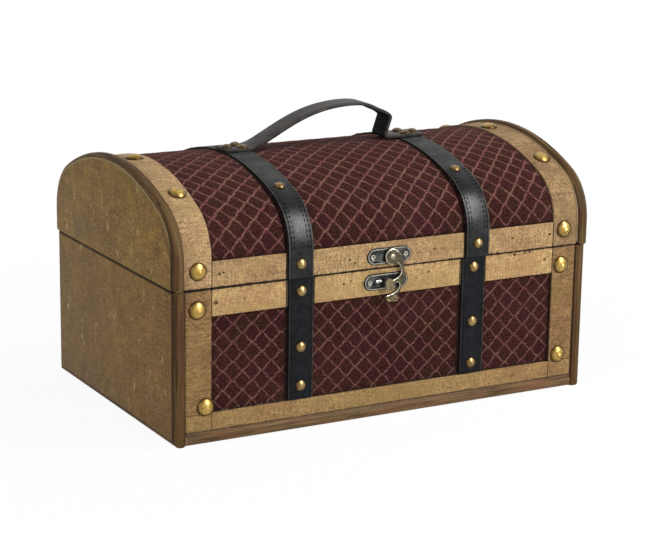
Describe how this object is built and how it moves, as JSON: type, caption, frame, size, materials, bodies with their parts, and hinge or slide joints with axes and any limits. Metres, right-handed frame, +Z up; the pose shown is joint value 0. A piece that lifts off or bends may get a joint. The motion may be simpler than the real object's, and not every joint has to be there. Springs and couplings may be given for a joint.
{
  "type": "domed keepsake chest",
  "caption": "Domed wooden keepsake chest covered in diamond-patterned cloth, with leather straps, domed nails, a hinged lid, a swing-hook latch and a carry handle.",
  "frame": {"origin": "middle of the chest's length and depth, on the underside of the bottom board that it rests on", "axes": "+X runs along the front from left to right, the front with the latch faces -Y, +Z is up"},
  "size_m": [0.302, 0.1929, 0.1878],
  "materials": {
    "board_wood": "olive-brown stained end and bottom boards, darker on their rounded edges, satin",
    "strip_wood": "honey-tan stained plywood strips with fine grain, satin",
    "panel_wood": "plain pale plywood, unpainted",
    "cloth": "dark burgundy woven cloth with a pinkish diamond lattice",
    "leather": "near-black leather with a soft sheen, stitched near its edges",
    "nail_brass": "aged brass",
    "latch_bronze": "antique bronze plating with worn, lighter edges",
    "rivet_metal": "pale worn brass",
    "screw_steel": "bright zinc-plated steel"
  },
  "bodies": {
    "base": {"base_back_bottom_strip": "strip_wood", "base_back_cover": "cloth", "base_back_left_strap": "leather", "base_back_left_strip": "strip_wood", "base_back_right_strap": "leather", "base_back_right_strip": "strip_wood", "base_back_top_left_strip": "strip_wood", "base_back_top_middle_strip": "strip_wood", "base_back_top_right_strip": "strip_wood", "base_back_wall": "panel_wood", "base_bottom_board": "board_wood", "base_front_bottom_strip": "strip_wood", "base_front_cover": "cloth", "base_front_left_strap": "leather", "base_front_left_strip": "strip_wood", "base_front_right_strap": "leather", "base_front_right_strip": "strip_wood", "base_front_top_left_strip": "strip_wood", "base_front_top_middle_strip": "strip_wood", "base_front_top_right_strip": "strip_wood", "base_front_wall": "panel_wood", "base_large_nails": "nail_brass", "base_left_end_board": "board_wood", "base_right_end_board": "board_wood", "base_strap_nails": "nail_brass", "hinge_base_screws": "screw_steel", "hinge_left_base_leaf": "latch_bronze", "hinge_left_pin": "latch_bronze", "hinge_right_base_leaf": "latch_bronze", "hinge_right_pin": "latch_bronze", "keeper_screws": "screw_steel", "latch_keeper_plate": "latch_bronze"},
    "lid": {"carry_handle": "leather", "handle_nails": "nail_brass", "hinge_left_lid_leaf": "latch_bronze", "hinge_lid_screws": "screw_steel", "hinge_right_lid_leaf": "latch_bronze", "latch_plate": "latch_bronze", "latch_plate_screws": "screw_steel", "latch_rivet": "rivet_metal", "lid_back_strip": "strip_wood", "lid_cover": "cloth", "lid_front_strip": "strip_wood", "lid_large_nails": "nail_brass", "lid_left_arc_strip": "strip_wood", "lid_left_end_board": "board_wood", "lid_left_strap": "leather", "lid_right_arc_strip": "strip_wood", "lid_right_end_board": "board_wood", "lid_right_strap": "leather", "lid_shell": "panel_wood", "lid_strap_nails": "nail_brass"},
    "hook": {"latch_hook": "latch_bronze"}
  },
  "joints": [
    {"name": "lid_hinge", "type": "hinge", "parent": "base", "child": "lid", "pos_m": [0, 0.0937, 0.0974], "axis": [-1, 0, 0], "range_deg": [0, 105]},
    {"name": "hook_pivot", "type": "hinge", "parent": "lid", "child": "hook", "pos_m": [0, -0.094, 0.1048], "axis": [0, -1, 0], "range_deg": [0, 270]}
  ]
}
